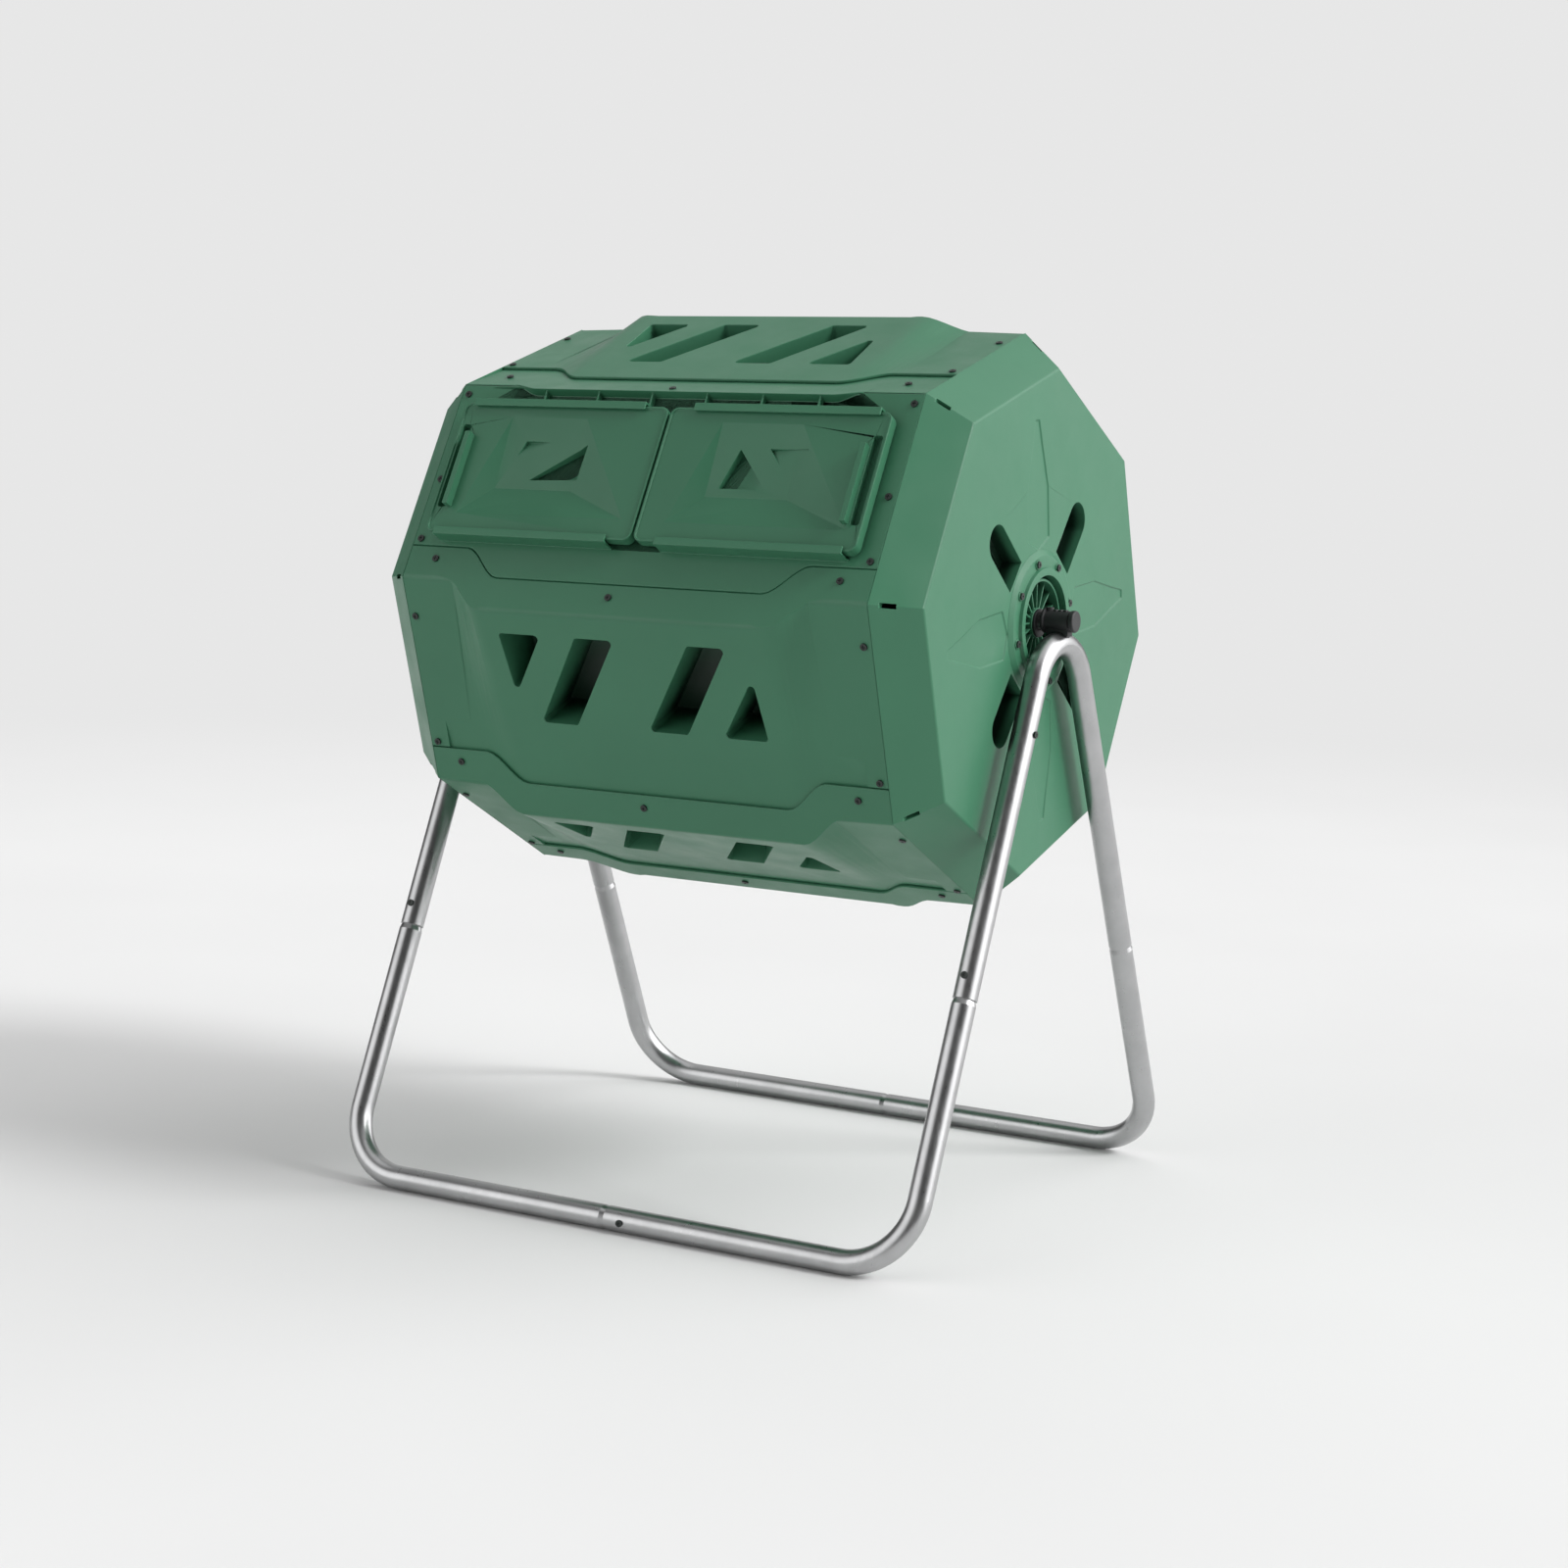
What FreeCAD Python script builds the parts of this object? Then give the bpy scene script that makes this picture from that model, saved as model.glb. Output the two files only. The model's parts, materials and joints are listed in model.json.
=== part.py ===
import FreeCAD, Part
import math
import os

from FreeCAD import Vector

# Compost tumbler: an octagonal drum that turns on a fixed axle between two A-shaped tube stands.
# Millimetres, +Z up. X runs along the axle, the doors face -Y, and Z = 0 is the ground.

# ---- driving dimensions -------------------------------------------------------------------

AXLE_Z = 618.0          # height of the axle
TILT = 5.7              # the drum's stored turn: its front corner lies this far above level

RIM_R = 295.0           # drum octagon, centre to corner
HALF_LENGTH = 273.0     # drum centre to the rim of an end cap
WALL = 3.0              # moulded wall
GAP = 0.2               # between moulded pieces that are screwed together

CAP_R = 259.0           # end face octagon, centre to corner
CAP_DEPTH = 42.0        # rim to end face
CAP_SKIRT = 24.0        # length of the cap's flange under the side panels
CAP_WALL = 3.5

FLANGE = 36.0           # leading flange of a vent panel, up to the drum's corner
RISE = 32.0             # how far the middle of a vent panel stands beyond the corner
JOG = WALL + GAP        # step down that seats the next panel's flange
BAND = 32.0             # wedge-shaped band above each seam
BAND_HALF = 250.0       # half-length of that band
SEAM_WAVE = (156.0, 203.0)    # where the seam swings from its middle line to its end line
BEND_WAVE = (169.0, 217.0)    # the same for the bend
WAVE_STEPS = 7

VENT_DEPTH = 50.0
VENT_WALL = 2.2
VENT_DRAFT = 3.0
VENT_CORNER = 4.0
VENT_SLIT = 12.0        # open stretch at the upper end of a vent's floor

DOOR_INNER = 1.5        # door edge beside the middle of the drum
DOOR_OUTER = 252.5
DOOR_TOP = 29.0         # distances down the door panel's face, from its upper corner line
DOOR_BOTTOM = 178.6
DOOR_LIFT = 2.4         # door's underside above the panel, clear of the screw heads
DOOR_HEIGHT = 14.0      # door rim above the panel
DOOR_PLATE = 12.4       # door plate's outer surface above the panel
DOOR_WALL = 2.2
DOOR_CORNER = 9.0
DISH_DEPTH = 9.0
GRIP_X = (230.5, 236.5) # upright bar that the door is pulled by
GRIP_S = (66.0, 150.0)
GRIP_HEIGHT = 9.0
WELL_X = (238.0, 248.0) # finger well behind the bar
WELL_S = (54.0, 150.0)
WELL_FLOOR = 4.6
WELL_WALL = 1.6

RAIL_INNER = 29.0
RAIL_OUTER = 240.0
RAIL_TOP = (25.0, 33.5)
RAIL_BOTTOM = (174.4, 182.8)
RAIL_HEIGHT = 17.0
RAIL_WALL = 2.3
OPENING_X = (22.0, 244.0)
OPENING_S = (38.0, 168.0)
LEDGE = 11.0
LEDGE_WAVE = (176.0, 206.0)
LEDGE_FOOT = 12.0
RIB_PITCH = 65.0

SPOKE_ANGLE = -6.0      # turn of the end face's openings and embossed leaves
SLOT_INNER = 77.0
SLOT_OUTER = 151.0
SLOT_WIDTH = 38.0
SLOT_DEPTH = 24.0
SLOT_FLOOR_RIM = 9.0    # ledge round the opening in a slot's floor
CORNER_SLOT_START = 11.0
CORNER_SLOT_LENGTH = 17.0
CORNER_SLOT_WIDTH = 4.8

HUB_R = 75.0            # foot of the hub's flange on the end face
HUB_TOP_R = 69.0        # top of the flange's sloping edge
HUB_HEIGHT = 3.6        # flange above the end face
COLLAR_R = 56.5         # collar round the hub's recess
COLLAR_HEIGHT = 7.4
HUB_RECESS_R = 49.0
HUB_LINER_R = 44.0      # thin inner ring that the ribs end in
HUB_DEPTH = 26.0
HUB_BOSS_R = 5.2
HUB_BOSS = 1.2          # screw boss above the flange
HUB_SCREW_R = 62.8
HUB_RIBS = 16
BUSH_R = 12.0
AXLE_R = 7.0
RUNNING = 0.06          # radial clearance of the bushes on the axle

TUBE_R = 12.5
TUBE_WALL = 1.5
FRAME_X = 337.0         # plane of each stand
BAR_Y = 299.0           # bar centre line, front and back
APEX_Z = 680.5          # where the two leg centre lines would meet
APEX_RADIUS = 57.0
FOOT_RADIUS = 70.0
JOINT_Z = 260.0
SPIGOT = 55.0
SHOULDER = 6.0

SLEEVE_R = 10.4
SLEEVE_RISE = 3.4       # the sleeve's body is thicker above the axle
SLEEVE_IN = 319.0
SLEEVE_OUT = 349.6
AXLE_CAP_R = 11.2
AXLE_CAP_END = 356.0

SEAT_SIZE = (24.0, 12.0, 9.0)       # block between the sleeve and the tube
TEETH_X = (-6.0, -0.5, 5.0)         # small teeth along the top of the sleeve

SCREW_HEAD_R = 3.6
SCREW_HEAD = 1.8
SCREW_SHANK_R = 1.7
FLANGE_SCREW_X = (-238.0, -15.0, 238.0)
SIDE_SCREW_X = 264.5
DIVIDER_WALL = 3.0
DIVIDER_FLANGE = 26.0
DIVIDER_GAP = (41.0, 157.0)   # stretch of each face where the flange makes room for a vent
DIVIDER_HUB_R = 24.0
DIVIDER_RIB = 8.0

SIDE = 2 * RIM_R * math.sin(math.radians(22.5))
APOTHEM = RIM_R * math.cos(math.radians(22.5))
AXLE = Vector(0, 0, AXLE_Z)
X_AXIS = Vector(1, 0, 0)
TAN_EIGHTH = math.tan(math.radians(22.5))


# ---- helpers ------------------------------------------------------------------------------

def save(name, shapes):
    """Writes one node: a single solid, or a group of separate ones."""
    solids = [s for shape in shapes for s in shape.Solids]
    for solid in solids:
        assert solid.isValid() and solid.Volume > 0, name
    shape = solids[0] if len(solids) == 1 else Part.makeCompound(solids)
    shape.exportStep("parts/" + name + ".step")
    print(f"{name}: {len(solids)} solid(s), {sum(s.Volume for s in solids) / 1000:.1f} cm3")


def mirrored(shape):
    """The same shape at the other end of the drum."""
    return shape.mirror(Vector(0, 0, 0), X_AXIS)


def turned(shape, facet):
    """A shape modelled on facet 0 in its untilted place, turned to one of the eight facets."""
    copy = shape.copy()
    copy.rotate(AXLE, X_AXIS, 45 * facet - TILT)
    return copy


def facet_point(x, s, n):
    """A point on facet 0: s down its face from its upper corner, n outwards."""
    down = (-math.sin(math.radians(22.5)), -math.cos(math.radians(22.5)))
    out = (-math.cos(math.radians(22.5)), math.sin(math.radians(22.5)))
    y = -RIM_R * math.cos(math.radians(45)) + s * down[0] + n * out[0]
    z = RIM_R * math.sin(math.radians(45)) + s * down[1] + n * out[1]
    return Vector(x, y, z + AXLE_Z)


def from_upper(u, h):
    """(s, n) of a point on the facet above: u past the shared corner, h outwards."""
    half = math.sqrt(0.5)
    return (half * (u - h), half * (u + h))


def wave(x, limits):
    """1 in the middle, 0 near the ends, with a smooth S between the two limits."""
    t = (limits[1] - abs(x)) / (limits[1] - limits[0])
    t = min(1.0, max(0.0, t))
    return t * t * (3 - 2 * t)


def stations(*waves, extra=()):
    """X places of the sections: the ends, and steps across every S."""
    places = set(extra)
    for inner, outer in waves:
        places |= {inner + (outer - inner) * i / WAVE_STEPS for i in range(WAVE_STEPS + 1)}
    ordered = [HALF_LENGTH]
    for x in sorted(places, reverse=True):
        if ordered[-1] - x > 2.0 or x in extra:
            ordered.append(x)
    return sorted([-x for x in ordered]) + sorted(ordered)


def closed_wire(points):
    return Part.makePolygon(points + points[:1])


def skin(section, places):
    """A solid through one closed polygon per place."""
    wires = [closed_wire([facet_point(x, s, n) for s, n in section(x)]) for x in places]
    return Part.makeLoft(wires, True, True)


def offset_polygon(points, distance):
    """The polygon with every edge moved outwards; the points run anticlockwise."""
    count = len(points)
    lines = []
    for i in range(count):
        (ax, ay), (bx, by) = points[i], points[(i + 1) % count]
        length = math.hypot(bx - ax, by - ay)
        nx, ny = (by - ay) / length, -(bx - ax) / length
        lines.append((nx, ny, nx * ax + ny * ay + distance))
    moved = []
    for i in range(count):
        a, b, c = lines[i - 1]
        d, e, f = lines[i]
        det = a * e - b * d
        moved.append(((c * e - b * f) / det, (a * f - c * d) / det))
    return moved


def anticlockwise(points):
    area = sum(points[i - 1][0] * points[i][1] - points[i][0] * points[i - 1][1]
               for i in range(len(points)))
    return points if area > 0 else points[::-1]


def rounded_wire(points, radius, place):
    """A closed wire of straight edges and corner arcs, put in space by place(a, b)."""
    count = len(points)
    edges, ends = [], []
    for i in range(count):
        p, before, after = points[i], points[i - 1], points[(i + 1) % count]
        to_before = Vector(before[0] - p[0], before[1] - p[1], 0)
        to_after = Vector(after[0] - p[0], after[1] - p[1], 0)
        half = to_before.getAngle(to_after) / 2
        corner = Vector(p[0], p[1], 0)
        cut = radius / math.tan(half)
        start = corner + to_before.normalize() * cut
        end = corner + to_after.normalize() * cut
        toward = (to_before + to_after).normalize()
        middle = corner + toward * (radius / math.sin(half) - radius)
        ends.append((start, end))
        edges.append(Part.Arc(*[place(v.x, v.y) for v in (start, middle, end)]).toShape())
    for i in range(count):
        a, b = ends[i][1], ends[(i + 1) % count][0]
        edges.append(Part.LineSegment(place(a.x, a.y), place(b.x, b.y)).toShape())
    return Part.Wire(Part.__sortEdges__(edges))


def on_face(n):
    """Maps (x, s) on facet 0 to a point n outside its face."""
    return lambda x, s: facet_point(x, s, n)


def face_prism(points, radius, low, high, slope=0.0):
    """A block on facet 0 between two heights; slope widens or narrows its lower end."""
    outline = anticlockwise(points)
    lower = offset_polygon(outline, slope) if slope else outline
    wires = [rounded_wire(lower, radius, on_face(low)), rounded_wire(outline, radius, on_face(high))]
    return Part.makeLoft(wires, True, True)


def face_box(x, s, n):
    """A plain block on facet 0, from three (low, high) pairs."""
    corners = [facet_point(a, b, n[0]) for a, b in
               ((x[0], s[0]), (x[1], s[0]), (x[1], s[1]), (x[0], s[1]))]
    rise = facet_point(0, 0, n[1]) - facet_point(0, 0, n[0])
    return Part.Face(closed_wire(corners)).extrude(rise)


def x_cylinder(radius, start, end, y=0.0, z=AXLE_Z):
    return Part.makeCylinder(radius, end - start, Vector(start, y, z), X_AXIS)


def octagon(apothem, x):
    """Octagon wire across the axle, its corners on the drum's corner lines."""
    radius = apothem / math.cos(math.radians(22.5))
    angles = [math.radians(45 * i + TILT) for i in range(8)]
    return closed_wire([Vector(x, -radius * math.cos(a), AXLE_Z + radius * math.sin(a))
                        for a in angles])


def octagon_block(*steps):
    """Solid through octagons given as (x, apothem)."""
    return Part.makeLoft([octagon(apothem, x) for x, apothem in steps], True, True)


def polar(angle, radius, x):
    """Point on the right end of the drum; the angle runs from the front upwards."""
    a = math.radians(angle)
    return Vector(x, -radius * math.cos(a), AXLE_Z + radius * math.sin(a))


# ---- side panels --------------------------------------------------------------------------

def seam(x):
    """Distance down a face at which the next panel's flange begins."""
    return SIDE - FLANGE + RISE * wave(x, SEAM_WAVE)


def inner_corner(outer_bend, outer_next, depth):
    """Where the inside of a flange meets the inside of the wall that follows its bend."""
    ds, dn = outer_next[0] - outer_bend[0], outer_next[1] - outer_bend[1]
    length = math.hypot(ds, dn)
    normal = (-dn / length, ds / length)
    base, step = from_upper(0, -depth), from_upper(1, 0)
    offset = sum((base[i] - outer_bend[i]) * normal[i] for i in (0, 1)) + depth
    u = -offset / (step[0] * normal[0] + step[1] * normal[1])
    return from_upper(u, -depth)


def trailing_edge(x, band):
    """Outer and inner points of the joggled tongue that the next panel's flange covers."""
    start = seam(x) - (BAND if band else 1.4)
    end = SIDE - 2.6 + (RISE - 2.0) * wave(x, SEAM_WAVE)
    outer = [(start, 0.0), (seam(x) - 0.5, -JOG), (end, -JOG)]
    inner = [(end, -JOG - WALL), (seam(x) - 0.5, -JOG - WALL), (start, -WALL)]
    return outer, inner


def vent_section(x, last=False):
    """Section of a vent panel. The last one ends on top of the door panel's flange."""
    edge = -FLANGE + RISE * wave(x, SEAM_WAVE)
    bend = from_upper(RISE * wave(x, BEND_WAVE), 0)
    if last:
        end = seam(x) - BAND
        outer = [(end, 0.0)]
        inner = [(end, -WALL)]
    else:
        outer, inner = trailing_edge(x, abs(x) <= BAND_HALF)
    return ([from_upper(edge, 0), bend] + outer + inner
            + [inner_corner(bend, outer[0], WALL), from_upper(edge, -WALL)])


def vent_frame(h, last):
    """Maps (x, s) to the sloping middle face of a vent panel, h outside it."""
    top = from_upper(RISE, 0)
    foot = seam(0) - BAND
    slope = top[1] / (foot - top[0])
    lean = math.hypot(1, slope)
    return lambda x, s: facet_point(x, s + h * slope / lean, slope * (foot - s) + h / lean)


VENTS = (
    ((-148, 48), (-97, 48), (-144, 117)),
    ((-55, 48), (-9, 48), (-77, 148), (-121, 148)),
    ((77, 48), (121, 48), (55, 148), (9, 148)),
    ((148, 148), (97, 148), (144, 79)),
)


def vent_pocket(points, last):
    """(walls, cavity) of one vent: a tapered pocket whose floor leaves a narrow slit at its upper end."""
    outline = anticlockwise(list(points))
    wall = offset_polygon(outline, VENT_WALL)

    def tapered(shape, low, high):
        narrow = offset_polygon(shape, VENT_DRAFT * low / VENT_DEPTH)
        wires = [rounded_wire(narrow, VENT_CORNER * 0.6, vent_frame(low, last)),
                 rounded_wire(shape, VENT_CORNER, vent_frame(high, last))]
        return Part.makeLoft(wires, True, True)

    high_s = max(p[1] for p in points)
    cavity = tapered(outline, -VENT_DEPTH - 4.0, 2.0)
    floor_line = min(p[1] for p in points) + VENT_SLIT
    place = vent_frame(-VENT_DEPTH + VENT_WALL, last)
    lower = vent_frame(-VENT_DEPTH, last)
    floor_corners = [(-200, floor_line), (200, floor_line), (200, high_s + 20), (-200, high_s + 20)]
    floor = Part.makeLoft([closed_wire([lower(*c) for c in floor_corners]),
                           closed_wire([place(*c) for c in floor_corners])], True, True)
    walls = tapered(wall, -VENT_DEPTH, -0.5)
    return walls.cut(cavity.cut(floor)), cavity.cut(floor)


def make_vent_panel(last):
    extra = () if last else (BAND_HALF, BAND_HALF + 0.6)
    places = stations(SEAM_WAVE, BEND_WAVE, extra=extra)
    panel = skin(lambda x: vent_section(x, last), places)
    pockets = [vent_pocket(points, last) for points in VENTS]
    for walls, cavity in pockets:
        panel = panel.cut(cavity)
    for walls, cavity in pockets:
        panel = panel.fuse(walls)
    return panel


def door_section(x):
    """Section of the door panel, whose flange is tucked under the last vent panel."""
    tuck = -FLANGE - BAND + RISE * wave(x, SEAM_WAVE)
    ledge = wave(x, LEDGE_WAVE)
    outer, inner = trailing_edge(x, False)
    lip = from_upper(LEDGE * ledge + 0.5, 0)
    foot = (2.0 + (LEDGE_FOOT - 2.0) * ledge, 0.0)
    corner = (WALL * TAN_EIGHTH, -WALL)
    return ([from_upper(tuck - 14, -JOG), from_upper(tuck, -JOG), lip, foot] + outer + inner
            + [corner, from_upper(tuck, -JOG - WALL), from_upper(tuck - 14, -JOG - WALL)])


def rail(side, edge, toward):
    """One channel that a door edge slides in; its lip points toward the door."""
    x = sorted((side * RAIL_INNER, side * RAIL_OUTER))
    outside, inside = (edge[0], edge[1]) if toward > 0 else (edge[1], edge[0])
    wall = face_box(x, sorted((outside, outside + toward * RAIL_WALL)), (-1.0, RAIL_HEIGHT))
    lip = face_box(x, sorted((outside, inside)), (RAIL_HEIGHT - RAIL_WALL, RAIL_HEIGHT))
    return wall.fuse(lip)


def make_door_panel():
    places = stations(SEAM_WAVE, LEDGE_WAVE)
    panel = skin(door_section, places)
    for side in (-1, 1):
        x = [side * v for v in OPENING_X]
        opening = [(x[0], OPENING_S[0]), (x[1], OPENING_S[0]), (x[1], OPENING_S[1]), (x[0], OPENING_S[1])]
        panel = panel.cut(face_prism(opening, 12.0, -12.0, 4.0))
        panel = panel.fuse(rail(side, RAIL_TOP, 1)).fuse(rail(side, RAIL_BOTTOM, -1))
    for i in range(6):
        x = (i - 2.5) * RIB_PITCH
        panel = panel.fuse(face_box((x - 1, x + 1), (LEDGE_FOOT - 5, RAIL_TOP[0] + 1), (-1, 6.5)))
    return panel


# ---- doors --------------------------------------------------------------------------------

# Blind triangular recesses: corners as (x, s, height of the sloping floor above the panel).
LEFT_RECESSES = (
    ((-182, 111.5, 10.8), (-164.5, 70.5, 5.0), (-122, 70.5, 10.8)),
    ((-149.5, 112, -5.0), (-87.5, 73, -5.0), (-92, 110, 2.0)),
)
RIGHT_RECESSES = (
    ((77, 113, -3.0), (92.5, 72, -3.0), (129, 112.5, 6.0)),
    ((126, 70.5, 5.0), (169, 70.5, 10.8), (161, 111, 10.8)),
)
RECESS_WALL = 1.8


def solid_hull(corners, faces):
    """A solid from its corner points and faces given by corner number."""
    sides = [Part.Face(closed_wire([corners[i] for i in face])) for face in faces]
    return Part.Solid(Part.Shell(sides))


def dish_solid(centre, grow, lift):
    """The hollow pressed into a door: it deepens downwards and ends in a steeper sill."""
    top, deep, foot = 44.0 - grow, 122.5, 156.0 + grow
    level = DOOR_PLATE + lift
    bottom = DOOR_PLATE - DISH_DEPTH + lift
    spans = {"top": (centre - 62 - grow, centre + 30 + grow),
             "deep": (centre - 64 - grow, centre + 30 + grow),
             "foot": (centre - 95 - grow, centre + 109 + grow)}
    corners = [facet_point(spans["top"][0], top, level), facet_point(spans["top"][1], top, level),
               facet_point(spans["foot"][1], foot, level), facet_point(spans["foot"][0], foot, level),
               facet_point(spans["deep"][0], deep, bottom), facet_point(spans["deep"][1], deep, bottom)]
    faces = ((0, 1, 2), (0, 2, 3), (0, 4, 5), (0, 5, 1), (3, 2, 5), (3, 5, 4), (0, 3, 4), (1, 5, 2))
    return solid_hull(corners, faces)


def recess_prism(corners, grow, under, top):
    """A triangular block whose lower face follows the recess floor, moved down by under."""
    outline = anticlockwise([(x, s) for x, s, _ in corners])
    floor = {(x, s): height for x, s, height in corners}
    spread = offset_polygon(outline, grow) if grow else outline
    low = [facet_point(*after, floor[before] - under) for before, after in zip(outline, spread)]
    high = [facet_point(*point, top) for point in spread]
    sides = ((0, 1, 2), (3, 4, 5), (0, 1, 4, 3), (1, 2, 5, 4), (2, 0, 3, 5))
    return solid_hull(low + high, sides)


def make_door(side, recesses):
    """A shallow tray: rim all round, pressed plate, grip bar by the outer edge, blind recesses."""
    x = sorted((side * DOOR_INNER, side * DOOR_OUTER))
    outline = [(x[0], DOOR_TOP), (x[1], DOOR_TOP), (x[1], DOOR_BOTTOM), (x[0], DOOR_BOTTOM)]
    inset = offset_polygon(anticlockwise(outline), -DOOR_WALL)
    under = DOOR_PLATE - DOOR_WALL
    door = face_prism(outline, DOOR_CORNER, DOOR_LIFT, DOOR_HEIGHT)
    door = door.cut(face_prism(inset, DOOR_CORNER - DOOR_WALL, DOOR_PLATE, DOOR_HEIGHT + 1))
    door = door.cut(face_prism(inset, DOOR_CORNER - DOOR_WALL, DOOR_LIFT - 1, under))
    centre = (x[0] + x[1]) / 2
    shell = dish_solid(centre, 2.0, 0.0).common(face_prism(inset, 2.0, DOOR_LIFT, DOOR_PLATE))
    shell.translate(facet_point(0, 0, 0) - facet_point(0, 0, DOOR_WALL))
    door = door.fuse(shell)
    for corners in recesses:
        door = door.fuse(recess_prism(corners, RECESS_WALL, RECESS_WALL, DOOR_PLATE - 0.5))
    door = door.cut(dish_solid(centre, 0.0, 0.02))
    for corners in recesses:
        door = door.cut(recess_prism(corners, 0.0, 0.0, DOOR_PLATE + 1))
    grip = sorted(side * x for x in GRIP_X)
    door = door.fuse(face_box(grip, GRIP_S, (DOOR_PLATE - 1, DOOR_PLATE + GRIP_HEIGHT)))
    well = [(side * WELL_X[i], WELL_S[j]) for i, j in ((0, 0), (1, 0), (1, 1), (0, 1))]
    shell = offset_polygon(anticlockwise(well), WELL_WALL)
    door = door.fuse(face_prism(shell, 3.0 + WELL_WALL, WELL_FLOOR - WELL_WALL, DOOR_PLATE - 1))
    return door.cut(face_prism(well, 3.0, WELL_FLOOR, DOOR_PLATE + 1))


# ---- end caps, hubs and divider -----------------------------------------------------------

def end_slot(width_margin, x_low, x_high, angle):
    """Blunt-ended slot of the end face, pointing away from the axle."""
    half = SLOT_WIDTH / 2 + width_margin
    inner = SLOT_INNER - width_margin
    centre = SLOT_OUTER - SLOT_WIDTH / 2
    block = Part.makeBox(x_high - x_low, centre - inner, 2 * half, Vector(x_low, -centre, AXLE_Z - half))
    tip = x_cylinder(half, x_low, x_high, -centre)
    slot = block.fuse(tip)
    slot.rotate(AXLE, X_AXIS, -angle)
    return slot


def corner_slot(angle):
    """Short slot across a bevel's corner edge, close to the rim."""
    at_rim = polar(angle, RIM_R, HALF_LENGTH)
    at_face = polar(angle, CAP_R, HALF_LENGTH + CAP_DEPTH)
    along = (at_face - at_rim).normalize()
    outwards = polar(angle, 1, 0) - AXLE
    across = along.cross(outwards).normalize()
    start = at_rim + along * CORNER_SLOT_START - outwards * 14.0
    end, half = start + along * CORNER_SLOT_LENGTH, across * CORNER_SLOT_WIDTH / 2
    corners = [start + half, end + half, end - half, start - half]
    return Part.Face(closed_wire(corners)).extrude(outwards * 24.0)


LEAF = ((74.0, 0.0), (85.0, 25.0), (137.0, 24.5), (180.0, 12.0), (207.0, 5.0))
LEAF_DEPTH = 1.3


def leaf_press(angle):
    """Shallow leaf-shaped hollow with sloping edges, pressed into the end face."""
    face_x = HALF_LENGTH + CAP_DEPTH
    outline = anticlockwise(list(LEAF) + [(along, -across) for along, across in LEAF[:0:-1]])

    def wire(margin, x):
        points = offset_polygon(outline, margin)
        return rounded_wire(points, 2.0, lambda along, across: Vector(x, -along, AXLE_Z + across))

    leaf = Part.makeLoft([wire(-LEAF_DEPTH, face_x - LEAF_DEPTH), wire(LEAF_DEPTH, face_x + LEAF_DEPTH)],
                         True, True)
    leaf.rotate(AXLE, X_AXIS, -angle)
    return leaf


def make_end_cap():
    """Octagonal dish at the right end: skirt under the panels, bevel, and vented end face."""
    rim, face = HALF_LENGTH + GAP, HALF_LENGTH + CAP_DEPTH
    skirt = APOTHEM - JOG - WALL - GAP
    cap_apothem = CAP_R * math.cos(math.radians(22.5))
    outer = octagon_block((rim, APOTHEM), (face, cap_apothem))
    outer = outer.fuse(octagon_block((rim - CAP_SKIRT, skirt), (rim + 1, skirt)))
    inner = octagon_block((rim - CAP_SKIRT - 1, skirt - WALL), (rim + WALL, skirt - WALL),
                          (face - CAP_WALL, cap_apothem - CAP_WALL))
    cap = outer.cut(inner)
    for i in range(4):
        angle = SPOKE_ANGLE + 45 + 90 * i
        walls = end_slot(2.2, face - SLOT_DEPTH, face - 1, angle)
        cavity = end_slot(0, face - SLOT_DEPTH + 2.2, face + 1, angle)
        slit = end_slot(-SLOT_FLOOR_RIM, face - SLOT_DEPTH - 1, face, angle)
        cap = cap.fuse(walls).cut(cavity).cut(slit)
        cap = cap.cut(leaf_press(SPOKE_ANGLE + 90 * i))
    for i in range(8):
        cap = cap.cut(corner_slot(TILT + 45 * i))
    return cap.cut(x_cylinder(HUB_RECESS_R + 3.5, face - 60, face + 5))


def x_cone(low_radius, high_radius, start, end):
    return Part.makeCone(low_radius, high_radius, end - start, Vector(start, 0, AXLE_Z), X_AXIS)


def x_ring(outer, inner, start, end):
    return x_cylinder(outer, start, end).cut(x_cylinder(inner, start - 1, end + 1))


def make_hub():
    """Flange screwed to the end face, with a collar and a ribbed cup that holds the bush."""
    face = HALF_LENGTH + CAP_DEPTH
    front, back = face + HUB_HEIGHT, face - HUB_DEPTH
    hub = x_cone(HUB_R, HUB_TOP_R, face, front).fuse(x_cylinder(HUB_RECESS_R + 3.3, back, face))
    hub = hub.fuse(x_cone(COLLAR_R + 2.0, COLLAR_R, face, face + COLLAR_HEIGHT))
    hub = hub.cut(x_cylinder(HUB_RECESS_R, back + 3, face + COLLAR_HEIGHT + 1))
    for i in range(8):
        centre = polar(TILT + 22.5 + 45 * i, HUB_SCREW_R, face + 1)
        hub = hub.fuse(Part.makeCylinder(HUB_BOSS_R, HUB_HEIGHT + HUB_BOSS - 1, centre, X_AXIS))
    liner = x_ring(HUB_LINER_R + 1.3, HUB_LINER_R - 1.3, back, face + 1.5)
    hub = hub.fuse(liner).fuse(x_cylinder(BUSH_R + 3.5, back, face - 2))
    for i in range(HUB_RIBS):
        rib = Part.makeBox(face - 4 - back, HUB_LINER_R - BUSH_R, 1.8,
                           Vector(back, -HUB_LINER_R, AXLE_Z - 0.9))
        rib.rotate(AXLE, X_AXIS, -(360 / HUB_RIBS) * i)
        hub = hub.fuse(rib)
    return hub.cut(x_cylinder(BUSH_R, back - 1, face + 1))


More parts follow.
